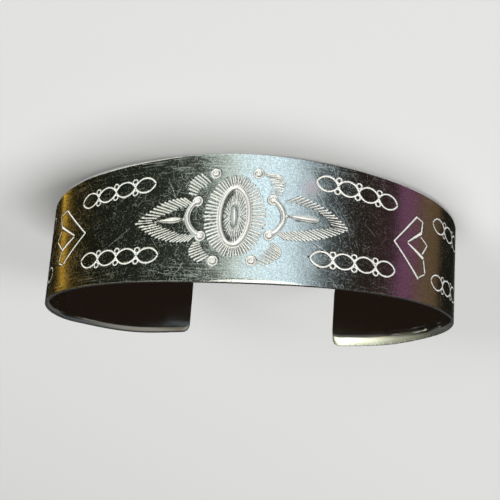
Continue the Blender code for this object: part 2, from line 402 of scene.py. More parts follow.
# The arrowheads
# Between the chains on each side an arrowhead points to the middle. Straight punches of a few
# lengths strike it, two of them wedges, whose marks widen most.
ARROW_DEPTH = 0.12 * MM
# Each stroke's places are in millimetres, and it widens by a factor towards its end.
arrowheads = [
    {"line": 0.2 * MM, "strokes": [
        {"from": (22.7, -0.3), "to": (26.55, 4.2), "widens": 1.5},
        {"from": (22.7, -0.3), "to": (27.1, -4.65), "widens": 1.5},
        {"from": (25.1, 0.2), "to": (27.5, 2.05), "widens": 2.4},
        {"from": (25.1, -0.05), "to": (27.95, -1.45), "widens": 2.4},
        {"from": (26.7, 4.2), "to": (27.75, 3.85), "widens": 0.8},
        {"from": (27.8, 3.75), "to": (27.6, 2.2), "widens": 1.4},
        {"from": (27.55, 1.5), "to": (28.8, 0.65), "widens": 0.8},
        {"from": (28.8, 0.55), "to": (27.95, -0.8), "widens": 1.4},
        {"from": (28.15, -1.75), "to": (28.5, -3.4), "widens": 1.4},
        {"from": (28.4, -3.75), "to": (27.3, -4.45), "widens": 0.8},
    ]},
    {"line": 0.17 * MM, "strokes": [
        {"from": (-23.4, -0.25), "to": (-28.7, 4.45), "widens": 1.3},
        {"from": (-23.4, -0.25), "to": (-28.1, -3.75), "widens": 1.3},
        {"from": (-26.0, 0.0), "to": (-30.0, 2.3), "widens": 2.2},
        {"from": (-26.0, -0.25), "to": (-29.0, -1.5), "widens": 2.2},
        {"from": (-28.9, 4.5), "to": (-30.8, 4.3), "widens": 0.9},
        {"from": (-31.0, 4.2), "to": (-30.2, 2.5), "widens": 1.2},
        {"from": (-30.1, 1.6), "to": (-31.0, 0.4), "widens": 0.9},
        {"from": (-31.0, 0.2), "to": (-29.4, -1.2), "widens": 1.2},
        {"from": (-29.2, -1.8), "to": (-29.8, -3.1), "widens": 1.2},
        {"from": (-29.6, -3.4), "to": (-28.5, -3.9), "widens": 0.9},
    ]},
]

for arrowhead in arrowheads:
    for stroke in arrowhead["strokes"]:
        line = [in_metres(stroke["from"]), in_metres(stroke["to"])]
        strike(line, arrowhead["line"], ARROW_DEPTH, arrowhead["line"] * stroke["widens"])

# The knocks of wear
# Years of wear have left a few shallow nicks in the plain metal round the ornament.
NICK_WIDTH = 0.09 * MM
NICK_DEPTH = 0.032 * MM
NICK_START_SHARE = 0.6
nicks = [
    {"from": (10.86, -2.88), "to": (12.48, -3.80)},
    {"from": (-18.51, -3.19), "to": (-15.10, -0.93)},
    {"from": (-9.35, 5.03), "to": (-8.51, 3.30)},
    {"from": (-14.52, 3.02), "to": (-13.84, 4.13)},
    {"from": (17.9, 1.2), "to": (19.6, -0.4)},
]

for nick in nicks:
    line = [in_metres(nick["from"]), in_metres(nick["to"])]
    strike(line, NICK_WIDTH * NICK_START_SHARE, NICK_DEPTH, NICK_WIDTH)

# Cutting, bending and easing the strip
# The sheet's edges are filed round, the inner ones further back towards the ends, which are
# pushed over the wrist. The strip is then bent round to an open oval over a mandrel.
OUTER_EASE = 0.04 * MM
OUTER_FULLNESS = 1.6
FILED_OFF = 0.015 * MM
INNER_EASE = 0.3 * MM
INNER_EASE_MIDDLE = 0.3 * MM
INNER_EASE_ENDS = {"left": 0.74 * MM, "right": 1.9 * MM}
INNER_EASE_DEEPER = {"left": 0.0, "right": 0.2 * MM}
INNER_EASE_WIDENS = (24 * MM, 50 * MM)
INNER_FULLNESS = 1.35
HOLDING = 0.07 * MM
CORNER = 1.0 * MM
FRONT_RADIUS = 40.0 * MM
SIDE_RADIUS = 15.0 * MM
BACK_RADIUS = 50.0 * MM
SIDE_PLACE = 42.2 * MM
SIDE_SPREAD = 16.7 * MM
LEAN = math.radians(5.39)
CELL = 0.6 * MM
STRUCK_HALVINGS = 3
FACE_ROWS = 30
EASE_ROWS = 4
BACK_ROWS = 9
FACE_INSET = 0.042 * MM
TOUCHING = 0.001 * MM
CORNER_TURNS = [22.5, 45, 58]
CORNER_EASE_SHARES = [0.0, 0.75, 1.0]
# Where each rim is rubbed down, and how far the uppermost one strays as it runs out along the
# arms, in millimetres.
RUBBED_RIMS = {
    "uppermost": {"place": 3.2, "spread": 5.6, "up": 0.62, "inward": 0.17},
    "lowest": {"place": -15.5, "spread": 7.0, "up": 0.18, "inward": 0.12},
}
RIM_STRAYS = {
    "left": [{"by": -0.24, "from": 45.5, "to": 53.0}, {"by": -0.95, "from": 58.0, "to": 73.0}],
    "right": [{"by": 0.43, "from": 50.0, "to": 62.0}],
}


def ease(start, end, fullness, starts_up=False):
    """Rounded steps from one (up, out) point to another. Fullness 2 is a quarter round, 1 flat."""
    points = []
    for step in range(0 if starts_up else 1, EASE_ROWS + 1):
        turn = math.pi / 2 * step / EASE_ROWS
        rise = (math.sin(turn) ** (2 / fullness), 1 - math.cos(turn) ** (2 / fullness))
        shares = rise[::-1] if starts_up else rise
        points.append(tuple(a + (b - a) * share for a, b, share in zip(start, end, shares)))
    return points


def smooth_share(value, low, high):
    share = min(max((value - low) / (high - low), 0), 1)
    return share * share * (3 - 2 * share)


def rim_wander(right):
    """How far the rim that lies uppermost strays out from a true one, as it was filed."""
    wander = 0
    for stray in RIM_STRAYS["right" if right > 0 else "left"]:
        share = smooth_share(abs(right), stray["from"] * MM, stray["to"] * MM)
        wander += stray["by"] * MM * share
    return wander - FILED_OFF


def rim_section(right, side):
    """(up, out) points over one rim, from the face to the back, as if it were the top one."""
    into_end = max(abs(right) - (HALF_LENGTH - CORNER), 0)
    cut = CORNER - math.sqrt(max(CORNER**2 - into_end**2, 0))
    into_ease = max(abs(right) - (HALF_LENGTH - OUTER_EASE), 0)
    thin = OUTER_EASE - math.sqrt(max(OUTER_EASE**2 - into_ease**2, 0))
    top = float(half_height(right)) - cut - thin
    if side == "uppermost":
        top += rim_wander(right)
    share = smooth_share(abs(right), *INNER_EASE_WIDENS)
    arm = "left" if right < 0 else "right"
    back_ease = INNER_EASE_MIDDLE + (INNER_EASE_ENDS[arm] - INNER_EASE_MIDDLE) * share
    back_cut = INNER_EASE + INNER_EASE_DEEPER[arm] * share
    face, back = -FACE_INSET - thin, -SHEET + thin
    wear = RUBBED_RIMS[side]
    rubbed = MM * math.exp(-(((right / MM - wear["place"]) / wear["spread"]) ** 4))
    eased_up = OUTER_EASE + wear["up"] * rubbed
    eased_in = OUTER_EASE + wear["inward"] * rubbed
    points = [(top - eased_up - HOLDING, face), (top - eased_up, face)]
    points += ease(points[-1], (top, face - eased_in), OUTER_FULLNESS)
    points.append((top, face - eased_in - HOLDING))
    points.append((top, back + back_cut + HOLDING))
    back_corner = (top - back_ease, back)
    points += ease((top, back + back_cut), back_corner, INNER_FULLNESS, starts_up=True)
    points.append((points[-1][0] - HOLDING, back))
    return points


def strip_section(right):
    """(up, out) points round the strip, starting up its face from the uppermost rim."""
    upper = rim_section(right, "lowest")
    lower = [(-up, out) for up, out in reversed(rim_section(right, "uppermost"))]
    face_rows = [between(lower[-1], upper[0], row / FACE_ROWS) for row in range(1, FACE_ROWS)]
    back_rows = [between(upper[-1], lower[0], row / BACK_ROWS) for row in range(1, BACK_ROWS)]
    return face_rows + upper + back_rows + lower


straight = HALF_LENGTH - CORNER
long_stations = np.linspace(-straight, straight, round(STRIP_LENGTH / CELL))
round_corner = straight + CORNER * np.sin(np.radians(CORNER_TURNS))
at_end = HALF_LENGTH - OUTER_EASE + OUTER_EASE * np.array(CORNER_EASE_SHARES)
corner_stations = np.concatenate([round_corner, at_end])
stations = np.concatenate([-corner_stations[::-1], long_stations, corner_stations])
sections = [strip_section(right) for right in stations]
around = len(sections[0])

bpy.ops.object.select_all(action="DESELECT")
bpy.ops.mesh.primitive_grid_add(
    x_subdivisions=len(stations) - 1,
    y_subdivisions=around,
    size=STRIP_LENGTH,
)
cuff = bpy.context.object
cuff.name = "silver_cuff"


def mesh_places():
    places = np.empty(len(cuff.data.vertices) * 3)
    cuff.data.vertices.foreach_get("co", places)
    return places.reshape(-1, 3)


places = mesh_places()
columns = np.rint((places[:, 0] / STRIP_LENGTH + 0.5) * (len(stations) - 1)).astype(int)
rows = np.rint((places[:, 1] / STRIP_LENGTH + 0.5) * around).astype(int) % around
section_table = np.array(sections)
places[:, 0] = stations[columns]
places[:, 1:] = section_table[columns, rows]
cuff.data.vertices.foreach_set("co", places.ravel())

bpy.ops.object.mode_set(mode="EDIT")
bpy.ops.mesh.select_all(action="SELECT")
bpy.ops.mesh.remove_doubles(threshold=TOUCHING)
bpy.ops.mesh.select_all(action="DESELECT")
bpy.ops.mesh.select_mode(type="EDGE")
bpy.ops.mesh.select_non_manifold()
bpy.ops.mesh.edge_face_add()
bpy.ops.mesh.select_all(action="SELECT")
bpy.ops.mesh.normals_make_consistent(inside=False)
bpy.ops.mesh.select_mode(type="FACE")

FAINT = 0.002 * MM
SHALLOW = 0.012 * MM
JUST_OVER_ONE = 1.001
height_map = np.where(raised > 0, raised, sunk)
struck_map = np.abs(height_map) > FAINT
cut_map = (sunk < -SHALLOW) | (raised > 0)


def map_index(rights, ups):
    """Where places lie on the map, in steps from its corner and just short of its last row."""
    across = np.clip((rights - map_right[0]) / MAP_STEP, 0, len(map_right) - JUST_OVER_ONE)
    upward = np.clip((ups - map_up[0]) / MAP_STEP, 0, len(map_up) - JUST_OVER_ONE)
    return across, upward


def summed(values):
    return np.pad(np.cumsum(np.cumsum(values, axis=0), axis=1), ((1, 0), (1, 0)))


def select_struck_cells(struck_sum):
    """Selects the cells of the outer face that a punch has touched."""
    edit = bmesh.from_edit_mesh(cuff.data)
    for face in edit.faces:
        corners = [vert.co for vert in face.verts]
        on_face = all(abs(corner.z + FACE_INSET) < TOUCHING for corner in corners)
        if not on_face or len(corners) != 4:
            face.select_set(False)
            continue
        rights = [corner.x for corner in corners]
        ups = [corner.y for corner in corners]
        across, upward = map_index(
            np.array([min(rights), max(rights)]),
            np.array([min(ups), max(ups)]),
        )
        left, right = int(across[0]), int(across[1]) + 1
        low, high = int(upward[0]), int(upward[1]) + 1
        touched = struck_sum[high, right] + struck_sum[low, left]
        face.select_set(bool(touched > struck_sum[low, right] + struck_sum[high, left]))
    bmesh.update_edit_mesh(cuff.data)


for halving in range(STRUCK_HALVINGS):
    select_struck_cells(summed(struck_map if halving == 0 else cut_map))
    bpy.ops.mesh.subdivide(number_cuts=1)
bpy.ops.mesh.select_all(action="DESELECT")
bpy.ops.object.mode_set(mode="OBJECT")

places = mesh_places()


def read_map(values, rights, ups):
    """Values of a map between its points, at given places."""
    across, upward = map_index(rights, ups)
    column, row = across.astype(int), upward.astype(int)
    right_share, up_share = across - column, upward - row
    low = values[row, column] * (1 - right_share) + values[row, column + 1] * right_share
    high = values[row + 1, column] * (1 - right_share) + values[row + 1, column + 1] * right_share
    return low * (1 - up_share) + high * up_share


on_face = np.abs(places[:, 2] + FACE_INSET) < TOUCHING
heights = read_map(height_map, places[:, 0], places[:, 1]) * on_face
flat_places = places.copy()
places[:, 2] += heights


def soften(values, reach):
    """Averages a map over a square of a given half width."""
    size = max(int(reach / MAP_STEP), 1)
    padded = np.pad(values, size + 1, mode="edge")
    total = np.cumsum(np.cumsum(padded, axis=0), axis=1)
    width = 2 * size + 1
    beyond = total[width:, width:] - total[:-width, width:]
    before = total[width:, :-width] - total[:-width, :-width]
    return (beyond - before)[: values.shape[0], : values.shape[1]] / width**2


def on_surface(values):
    """What a map says at each point of the mesh, on the outer face only."""
    return read_map(values, flat_places[:, 0], flat_places[:, 1]) * on_face


HOLLOW_REACH = 0.15 * MM
HOLLOW_FULL = 0.08 * MM
RAISED_FULL = 0.1 * MM
GROOVE_FULL = 0.025 * MM
RAISED_LEAST = 0.02 * MM
SHADE_REACH = 0.12 * MM
GROOVE_SHADE_GAIN = 3.2
FOOT_SHADE_GAIN = 3.0
RELIEF_SHADE_REACH = 0.6 * MM
RELIEF_SHADE_GAIN = 2.4
RELIEF_SHADE_MOST = 0.72
RELIEF_SHADE_FADE = 3 * MM
OVAL_FLOOR_SHADE = 0.7
OVAL_WALL_SHADE = 1.2
OVAL_WALL = (0.75, 0.85)
OVAL_WALL_FADE = 0.5 * MM
OVAL_WALL_HIDES = 0.85
OVAL_EDGE = 1.02

# How far each place is a groove, and where shade is painted dark: beside the grooves, round the
# foot of raised parts, over the oval's floor and its left inner wall, and near raised parts on
# the left.
stands_up = raised > RAISED_LEAST
lies_low = raised <= RAISED_LEAST
leftward = -map_right[None, :]
hollow_map = soften(height_map, HOLLOW_REACH) - height_map
groove_map = np.clip((-sunk - SHALLOW) / GROOVE_FULL, 0, 1) * (raised <= 0)
# Painted shade: a dark ring on the flat sheet round the foot of every raised part.
foot_shade_map = np.clip(FOOT_SHADE_GAIN * soften(stands_up * 1.0, SHADE_REACH), 0, 1) * lies_low
# Painted shade: a dark outline on the flat sheet beside every groove.
painted_shade_map = np.clip(GROOVE_SHADE_GAIN * soften(groove_map, SHADE_REACH), 0, 1) * (1 - groove_map)
# Painted shade: the oval's floor is darkened and its left inner wall darker still, and the frosted
# grooves there are mostly hidden under it.
oval_share = np.hypot(
    leftward / (OVAL_WIDTH / 2 - OVAL_WIRE),
    (map_up[:, None] - DESIGN_UP) / (OVAL_HEIGHT / 2 - OVAL_WIRE),
)
in_oval = oval_share < OVAL_EDGE
wall_share = (oval_share - OVAL_WALL[0]) / (OVAL_WALL[1] - OVAL_WALL[0])
oval_wall_shade_map = np.clip(wall_share, 0, 1) * np.clip(leftward / OVAL_WALL_FADE, 0, 1)
oval_wall_shade_map *= in_oval * lies_low
oval_shade_map = OVAL_FLOOR_SHADE * in_oval * (1 - groove_map) * lies_low
oval_shade_map = np.maximum(oval_shade_map, OVAL_WALL_SHADE * oval_wall_shade_map)
groove_map *= 1 - OVAL_WALL_HIDES * oval_wall_shade_map
# Painted shade: the flat sheet near raised parts is darkened, only left of the middle.
left_relief_shade_map = RELIEF_SHADE_GAIN * soften(stands_up * 1.0, RELIEF_SHADE_REACH)
left_relief_shade_map = np.clip(left_relief_shade_map, 0, RELIEF_SHADE_MOST)
left_relief_shade_map *= lies_low * (1 - groove_map) * np.clip(leftward / RELIEF_SHADE_FADE, 0, 1)
# All the painted shade is gathered into one map.
for shade_map in (foot_shade_map, oval_shade_map, left_relief_shade_map):
    painted_shade_map = np.maximum(painted_shade_map, shade_map)
surface_amounts = {
    "struck": on_surface(groove_map),
    "painted_shade": on_surface(painted_shade_map),
    "raised": on_surface(np.clip(raised / RAISED_FULL, 0, 1)),
    "hollow": on_surface(np.clip(hollow_map / HOLLOW_FULL, -1, 1)),
}

BEND_STEP = 0.05 * MM
bend_along = np.arange(0, HALF_LENGTH + 2 * BEND_STEP, BEND_STEP)
step_middle = bend_along + BEND_STEP / 2
plain = np.where(step_middle < SIDE_PLACE, 1 / FRONT_RADIUS, 1 / BACK_RADIUS)
bends = plain + (1 / SIDE_RADIUS - plain) * swell(step_middle, SIDE_PLACE, SIDE_SPREAD)
bend_turn = np.concatenate([[0], np.cumsum(bends * BEND_STEP)[:-1]])
halfway = bend_turn + bends * BEND_STEP / 2
bend_x = np.concatenate([[0], np.cumsum(np.cos(halfway) * BEND_STEP)[:-1]])
bend_y = np.concatenate([[0], np.cumsum(np.sin(halfway) * BEND_STEP)[:-1]])


def bent(right, out):
    """Where a place of the flat strip lies once it is bent: how far sideways and how far back."""
    along = np.abs(right)
    turn = np.interp(along, bend_along, bend_turn)
    sideways = np.interp(along, bend_along, bend_x) + np.sin(turn) * out
    return np.sign(right) * sideways, np.interp(along, bend_along, bend_y) - np.cos(turn) * out


sideways, back = bent(places[:, 0], places[:, 2])
world = np.stack([-sideways, back, -places[:, 1]], axis=1)
lean = np.array(Matrix.Rotation(-LEAN, 3, "X"))
world = world @ lean.T
cad_low, cad_high = (np.array(corner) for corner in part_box("cuff_band"))
world[:, 0] += (cad_low[0] + cad_high[0]) / 2 - (world[:, 0].min() + world[:, 0].max()) / 2
world[:, 1] += cad_high[1] - world[:, 1].max()
world[:, 2] += cad_low[2] - world[:, 2].min()
cuff.data.vertices.foreach_set("co", world.ravel())
cuff.data.update()

for name, amount in surface_amounts.items():
    layer = cuff.data.attributes.new(name, "FLOAT", "POINT")
    layer.data.foreach_set("value", amount.astype(np.float32))
flat = cuff.data.attributes.new("flat_place", "FLOAT_VECTOR", "POINT")
flat_values = flat_places / MM
flat.data.foreach_set("vector", flat_values.astype(np.float32).ravel())

bpy.ops.object.shade_smooth_by_angle(angle=math.radians(50))
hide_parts("cuff_band")
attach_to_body(cuff, "root")

# The silver's finish
# Sterling silver, polished and then worn for years. Fine scratches run every way over it,
# the rims and wires are rubbed bright, the punch marks stay frosted and tarnish darkens the
# hollows. Shade is painted dark beside the marks, round the feet of raised parts and in the oval.
def new_group(name, inputs, outputs):
    """A shader node group with named number and vector sockets, and its two end nodes."""
    group = bpy.data.node_groups.new(name, "ShaderNodeTree")
    for label, kind, value in inputs:
        socket = group.interface.new_socket(label, in_out="INPUT", socket_type=kind)
        if value is not None:
            socket.default_value = value
    for label, kind in outputs:
        group.interface.new_socket(label, in_out="OUTPUT", socket_type=kind)
    start = group.nodes.new("NodeGroupInput")
    end = group.nodes.new("NodeGroupOutput")
    return group, start.outputs, end.inputs


def attach(tree, socket, value):
    """Links a socket to another node's output, or sets it to a plain value."""
    if isinstance(value, bpy.types.NodeSocket):
        tree.links.new(value, socket)
    elif value is not None:
        socket.default_value = value


def math_node(tree, operation, *values, clamp=False):
    node = tree.nodes.new("ShaderNodeMath")
    node.operation = operation
    node.use_clamp = clamp
    for socket, value in zip(node.inputs, values):
        attach(tree, socket, value)
    return node.outputs[0]


def vector_node(tree, operation, *values):
    node = tree.nodes.new("ShaderNodeVectorMath")
    node.operation = operation
    second = node.inputs["Scale" if operation == "SCALE" else 1]
    for socket, value in zip((node.inputs[0], second), values):
        attach(tree, socket, value)
    return node.outputs["Vector"]


def ramp_between(tree, value, low, high):
    """Maps a value smoothly to 0 at low and 1 at high."""
    node = tree.nodes.new("ShaderNodeMapRange")
    node.interpolation_type = "SMOOTHSTEP"
    attach(tree, node.inputs["Value"], value)
    attach(tree, node.inputs["From Min"], low)
    attach(tree, node.inputs["From Max"], high)
    return node.outputs["Result"]


def rest_of(tree, share):
    """What a share leaves of 1."""
    return math_node(tree, "SUBTRACT", 1.0, share)


def from_to(tree, share, low, high):
    """A number that runs from low to high as a share runs from 0 to 1."""
    return math_node(tree, "MULTIPLY_ADD", share, high - low, low)


def mixed(tree, share, first, second):
    node = tree.nodes.new("ShaderNodeMix")
    node.data_type = "RGBA"
    attach(tree, node.inputs["Factor"], share)
    attach(tree, node.inputs[6], first)
    attach(tree, node.inputs[7], second)
    return node.outputs[2]


def noise(tree, vector, scale, detail=2.0, roughness=0.5):
    node = tree.nodes.new("ShaderNodeTexNoise")
    node.noise_dimensions = "3D"
    attach(tree, node.inputs["Vector"], vector)
    node.inputs["Scale"].default_value = scale
    node.inputs["Detail"].default_value = detail
    node.inputs["Roughness"].default_value = roughness
    return node.outputs["Fac"]


def turned_by(tree, vector, angle):
    """A vector turned about the line that stands upright on the flat strip."""
    node = tree.nodes.new("ShaderNodeVectorRotate")
    node.rotation_type = "Z_AXIS"
    attach(tree, node.inputs["Vector"], vector)
    attach(tree, node.inputs["Angle"], angle)
    return node.outputs[0]


def axes_of(tree, vector):
    node = tree.nodes.new("ShaderNodeSeparateXYZ")
    attach(tree, node.inputs[0], vector)
    return node.outputs


HAIRLINE_ENDS = (0.12, 0.3)
HAIRLINE_UNEVENNESS = 1.6
STREAK_EDGES = (0.5, 0.72)


def make_scratch_group():
    """One layer of hairline scratches: a short line at its own angle in each cell."""
    group, given, result = new_group(
        "hairline_scratches",
        [
            ("Place", "NodeSocketVector", None),
            ("Cell", "NodeSocketFloat", 1.0),
            ("Width", "NodeSocketFloat", 0.05),
            ("Shift", "NodeSocketFloat", 0.0),
            ("Spread", "NodeSocketFloat", 1.0),
            ("Lean", "NodeSocketFloat", 0.0),
            ("Curl", "NodeSocketFloat", 0.1),
        ],
        [("Lines", "NodeSocketFloat")],
    )
    shifted = vector_node(group, "ADD", given["Place"], given["Shift"])
    inverse = math_node(group, "DIVIDE", 1.0, given["Cell"])
    scaled = vector_node(group, "SCALE", shifted, inverse)
    cells = group.nodes.new("ShaderNodeTexVoronoi")
    cells.voronoi_dimensions = "2D"
    cells.feature = "F1"
    cells.inputs["Scale"].default_value = 1.0
    attach(group, cells.inputs["Vector"], scaled)
    offset = vector_node(group, "SUBTRACT", scaled, cells.outputs["Position"])
    parts = group.nodes.new("ShaderNodeSeparateColor")
    attach(group, parts.inputs["Color"], cells.outputs["Color"])
    swing = math_node(group, "SUBTRACT", parts.outputs["Red"], 0.5)
    swing = math_node(group, "MULTIPLY", swing, given["Spread"])
    swing = math_node(group, "MULTIPLY_ADD", swing, math.pi, given["Lean"])
    axes = axes_of(group, turned_by(group, offset, swing))
    square = math_node(group, "MULTIPLY", axes["X"], axes["X"])
    bow = math_node(group, "MULTIPLY", square, given["Curl"])
    aside = math_node(group, "ABSOLUTE", math_node(group, "SUBTRACT", axes["Y"], bow))
    width = math_node(group, "MULTIPLY", given["Width"], inverse)
    line = rest_of(group, ramp_between(group, aside, 0.0, width))
    ends = rest_of(group, ramp_between(group, square, *HAIRLINE_ENDS))
    strength = math_node(group, "POWER", parts.outputs["Green"], HAIRLINE_UNEVENNESS)
    line = math_node(group, "MULTIPLY", math_node(group, "MULTIPLY", line, ends), strength)
    attach(group, result["Lines"], line)
    return group


def make_rub_group():
    """Faint streaks that all run one way, as a cloth or a sleeve leaves."""
    group, given, result = new_group(
        "rubbed_streaks",
        [
            ("Place", "NodeSocketVector", None),
            ("Angle", "NodeSocketFloat", 0.0),
            ("Along", "NodeSocketFloat", 1.0),
            ("Across", "NodeSocketFloat", 5.0),
        ],
        [("Streaks", "NodeSocketFloat")],
    )
    turned = turned_by(group, given["Place"], given["Angle"])
    stretch = group.nodes.new("ShaderNodeCombineXYZ")
    attach(group, stretch.inputs["X"], given["Along"])
    attach(group, stretch.inputs["Y"], given["Across"])
    attach(group, stretch.inputs["Z"], given["Along"])
    stretched = vector_node(group, "MULTIPLY", turned, stretch.outputs[0])
    field = noise(group, stretched, scale=1.0, detail=1.0)
    attach(group, result["Streaks"], ramp_between(group, field, *STREAK_EDGES))
    return group


scratch_group = make_scratch_group()
rub_group = make_rub_group()

silver = bpy.data.materials.new("worn_silver")
silver.use_nodes = True
tree = silver.node_tree
shader = tree.nodes["Principled BSDF"]


def surface_value(name, output="Fac"):
    node = tree.nodes.new("ShaderNodeAttribute")
    node.attribute_name = name
    return node.outputs[output]


def scratches(cell, width, shift, spread=1.0, lean=0.0, curl=0.1):
    node = tree.nodes.new("ShaderNodeGroup")
    node.node_tree = scratch_group
    attach(tree, node.inputs["Place"], flat_place)
    for label, value in (("Cell", cell), ("Width", width), ("Shift", shift), ("Spread", spread)):
        node.inputs[label].default_value = value
    node.inputs["Lean"].default_value = lean
    node.inputs["Curl"].default_value = curl
    return node.outputs["Lines"]


def rubbed(angle, along, across):
    node = tree.nodes.new("ShaderNodeGroup")
    node.node_tree = rub_group
    attach(tree, node.inputs["Place"], flat_place)
    for label, value in (("Angle", angle), ("Along", along), ("Across", across)):
        node.inputs[label].default_value = value
    return node.outputs["Streaks"]


def total(values):
    result = values[0]
    for value in values[1:]:
        result = math_node(tree, "ADD", result, value)
    return result


flat_place = surface_value("flat_place", "Vector")
flat_axes = axes_of(tree, flat_place)
struck = surface_value("struck")
painted_shade = surface_value("painted_shade")
hollow = surface_value("hollow")
raised_share = surface_value("raised")
outer = ramp_between(tree, flat_axes["Z"], low=-0.6, high=-0.3)

fine = total([
    scratches(cell=0.36, width=0.034, shift=3.1, curl=0.02),
    scratches(cell=0.48, width=0.036, shift=17.3, curl=0.02),
    scratches(cell=0.63, width=0.038, shift=41.7, curl=0.03),
    scratches(cell=0.85, width=0.038, shift=66.2, curl=0.03),
    scratches(cell=1.2, width=0.038, shift=93.5, curl=0.03),
])
long_lines = total([
    scratches(cell=1.9, width=0.038, shift=57.3, curl=0.05),
    scratches(cell=3.3, width=0.042, shift=12.1, spread=0.7, lean=0.6, curl=0.05),
    scratches(cell=5.0, width=0.042, shift=77.7, curl=0.08),
])
grain = total([
    rubbed(angle=0.35, along=1.6, across=7.5),
    rubbed(angle=1.1, along=1.8, across=8.2),
    rubbed(angle=1.85, along=1.5, across=7.2),
    rubbed(angle=2.6, along=1.9, across=8.6),
])
streaks = rubbed(angle=0.02, along=0.3, across=4.2)
wear = noise(tree, flat_place, scale=0.35, detail=3.0, roughness=0.55)
haze = noise(tree, flat_place, scale=1.6, detail=4.0, roughness=0.6)
from_rim = math_node(tree, "ABSOLUTE", flat_axes["Y"])
near_rim = ramp_between(tree, from_rim, low=4.5, high=8.5)
wear_share = ramp_between(tree, wear, low=0.3, high=0.7)
fine = math_node(tree, "MULTIPLY", fine, from_to(tree, wear_share, low=0.42, high=1.02))
grain = math_node(tree, "MULTIPLY", grain, from_to(tree, wear_share, low=0.12, high=0.26))
streaks = math_node(tree, "MULTIPLY", streaks, from_to(tree, near_rim, low=0.08, high=0.58))
LONG_LINE_SHARE = 0.75
lines = math_node(tree, "MULTIPLY_ADD", long_lines, LONG_LINE_SHARE, fine, clamp=True)
lines = math_node(tree, "MULTIPLY", lines, outer)
SCUFF_ANGLE = 1.03
SCUFF_ACROSS = 12.3
SCUFF_AHEAD = 4.0
SCUFF_AMOUNT = 0.6
scuff_axes = axes_of(tree, turned_by(tree, flat_place, SCUFF_ANGLE))
scuff_aside = math_node(tree, "SUBTRACT", scuff_axes["Y"], SCUFF_ACROSS)
scuff_aside = ramp_between(tree, math_node(tree, "ABSOLUTE", scuff_aside), low=2.2, high=0.8)
scuff_ahead = math_node(tree, "SUBTRACT", scuff_axes["X"], SCUFF_AHEAD)
scuff_ahead = ramp_between(tree, math_node(tree, "ABSOLUTE", scuff_ahead), low=6.5, high=4.0)
in_scuff = math_node(tree, "MULTIPLY", scuff_aside, scuff_ahead)
scuff_mark = rubbed(angle=SCUFF_ANGLE, along=0.2, across=7.0)
scuff_mark = math_node(tree, "MULTIPLY", scuff_mark, in_scuff)
scuff_mark = math_node(tree, "MULTIPLY", scuff_mark, SCUFF_AMOUNT)
rub = math_node(tree, "ADD", math_node(tree, "ADD", grain, streaks), scuff_mark)
rub = math_node(tree, "MULTIPLY", rub, outer)
scuffs = math_node(tree, "ADD", lines, rub, clamp=True)
scuffs = math_node(tree, "MULTIPLY", scuffs, rest_of(tree, raised_share))

SCUFF_ROUGHNESS = 0.36
RAISED_ROUGHNESS = 0.06
STRUCK_ROUGHNESS = 0.4
roughness = from_to(tree, haze, low=0.06, high=0.14)
roughness = math_node(tree, "MULTIPLY_ADD", scuffs, SCUFF_ROUGHNESS, roughness)
roughness = math_node(tree, "MULTIPLY_ADD", raised_share, RAISED_ROUGHNESS, roughness)
roughness = math_node(tree, "MULTIPLY_ADD", struck, STRUCK_ROUGHNESS, roughness, clamp=True)
attach(tree, shader.inputs["Roughness"], roughness)

UNEVEN_DEPTH = 0.05 * MM
SCUFF_DEPTH = 0.012 * MM


def bumped(height, depth, strength, under=None):
    """The way the surface faces once a height has been added to it, on top of another bump."""
    node = tree.nodes.new("ShaderNodeBump")
    node.inputs["Strength"].default_value = strength
    node.inputs["Distance"].default_value = depth
    attach(tree, node.inputs["Height"], height)
    attach(tree, node.inputs["Normal"], under)
    return node.outputs["Normal"]


waves = noise(tree, flat_place, scale=0.22, detail=1.0, roughness=0.4)
uneven = bumped(waves, UNEVEN_DEPTH, strength=1.0)
scored = math_node(tree, "MULTIPLY", scuffs, -1.0)
facing = bumped(scored, SCUFF_DEPTH, strength=0.5, under=uneven)
attach(tree, shader.inputs["Normal"], facing)

SILVER_COLOUR = (0.46, 0.45, 0.42, 1)
BRIGHT_COLOUR = (0.96, 0.95, 0.9, 1)
TARNISH_AND_SHADE_COLOUR = (0.1, 0.09, 0.07, 1)
MOTTLE_COLOUR = (0.84, 0.83, 0.8, 1)
PAINTED_SHADE_STRENGTH = 0.78
HOLLOW_TARNISH = 0.6
mottle = noise(tree, flat_place, scale=4.4, detail=3.0, roughness=0.65)
mottle = ramp_between(tree, mottle, low=0.34, high=0.66)
mottle = math_node(tree, "MAXIMUM", mottle, rest_of(tree, outer))
film = mixed(tree, mottle, SILVER_COLOUR, MOTTLE_COLOUR)
in_hollow = ramp_between(tree, hollow, low=0.15, high=0.9)
in_hollow = math_node(tree, "MULTIPLY", in_hollow, HOLLOW_TARNISH)
# Tarnish darkens the hollows; the rest of this darkening is painted shade.
tarnish_and_shade = math_node(tree, "MULTIPLY_ADD", painted_shade, PAINTED_SHADE_STRENGTH, in_hollow, clamp=True)
colour = mixed(tree, tarnish_and_shade, film, TARNISH_AND_SHADE_COLOUR)
clean_raised = math_node(tree, "MULTIPLY", raised_share, rest_of(tree, tarnish_and_shade))
bright = math_node(tree, "MAXIMUM", math_node(tree, "MAXIMUM", struck, scuffs), clean_raised)
colour = mixed(tree, bright, colour, BRIGHT_COLOUR)
